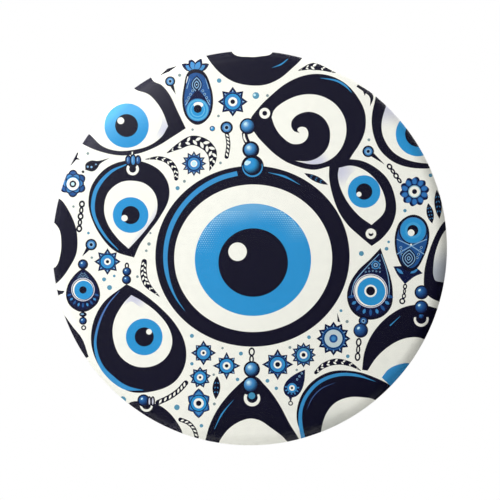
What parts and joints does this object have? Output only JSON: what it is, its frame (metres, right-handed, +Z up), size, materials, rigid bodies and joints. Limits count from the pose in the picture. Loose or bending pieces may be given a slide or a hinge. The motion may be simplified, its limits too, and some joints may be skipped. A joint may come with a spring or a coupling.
{
  "type": "evil eye button badge",
  "caption": "Round domed button badge printed with evil eye amulets and bead strings, with a folded rim, a closed back and a locking brooch pin.",
  "frame": {"origin": "centre of the flat land in the middle of the back plate, on its rear side", "axes": "+Z up as the badge is worn, +Y out of the back towards the wearer, -Y out of the printed face, +X to the right seen from the front"},
  "size_m": [0.058, 0.01, 0.058],
  "materials": {
    "clear_film": "clear gloss film",
    "printed_paper": "off-white coated paper with navy and blue print",
    "tinplate": "rolled, tinned, with fine rolling lines",
    "nickel_plate": "bright nickel plate, lightly rubbed",
    "pin_wire": "drawn steel wire, ground point"
  },
  "bodies": {
    "badge": {"clear_film": "clear_film", "printed_paper": "printed_paper", "front_shell": "tinplate", "back_plate": "tinplate", "pin_base": "nickel_plate", "rivet_left": "nickel_plate", "rivet_right": "nickel_plate", "hinge_rivet": "nickel_plate"},
    "pin": {"pin_stem": "pin_wire"},
    "catch": {"catch_roller": "nickel_plate"}
  },
  "joints": [
    {"name": "pin_swing", "type": "hinge", "parent": "badge", "child": "pin", "pos_m": [-0.014, 0.0027, 0.009], "axis": [0, 0, 1], "range_deg": [0, 100]},
    {"name": "catch_turn", "type": "hinge", "parent": "badge", "child": "catch", "pos_m": [0.0138, 0.0027, 0.009], "axis": [1, 0, 0], "range_deg": [0, 90]}
  ]
}
